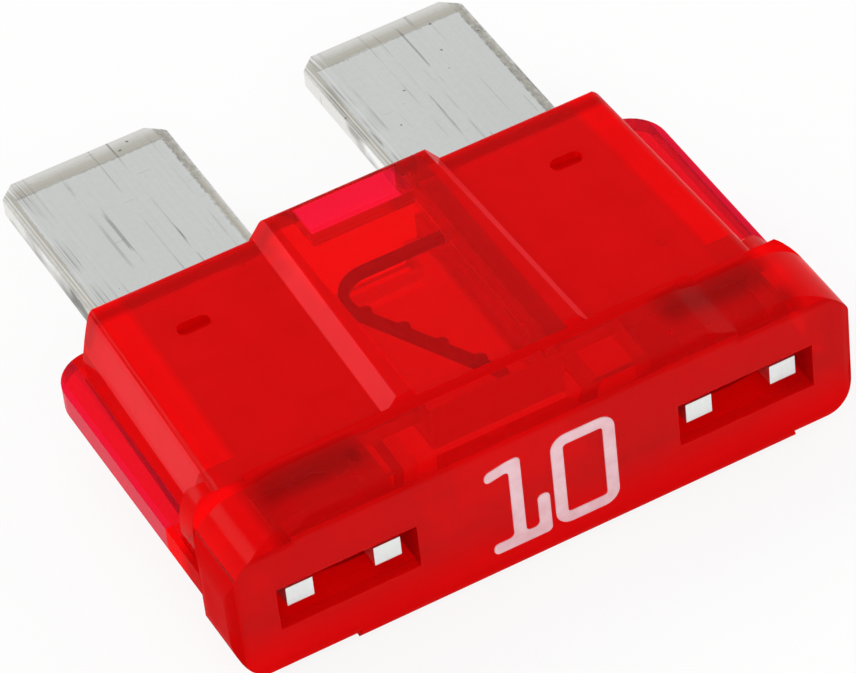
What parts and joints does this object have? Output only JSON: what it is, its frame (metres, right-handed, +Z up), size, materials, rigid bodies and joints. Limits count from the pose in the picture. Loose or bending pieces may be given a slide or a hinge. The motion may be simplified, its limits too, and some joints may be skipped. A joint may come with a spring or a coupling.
{
  "type": "automotive blade fuse",
  "caption": "Regular-size automotive blade fuse: clear red moulded housing with test windows in its head, over flat zinc blades joined by a thin fuse link.",
  "frame": {"origin": "centre of the bounding box in plan, at the plane of the head's lower pad, on which the fuse lies", "axes": "+X along the head, +Y from the head toward the blade tips, +Z up, square to the blades' faces"},
  "size_m": [0.019, 0.0186, 0.0051],
  "materials": {
    "housing": "clear red moulded plastic, gloss",
    "fuse_element": "bare stamped zinc, scratched along the blades"
  },
  "bodies": {
    "root": {"housing": "housing", "fuse_element": "fuse_element"}
  },
  "joints": []
}
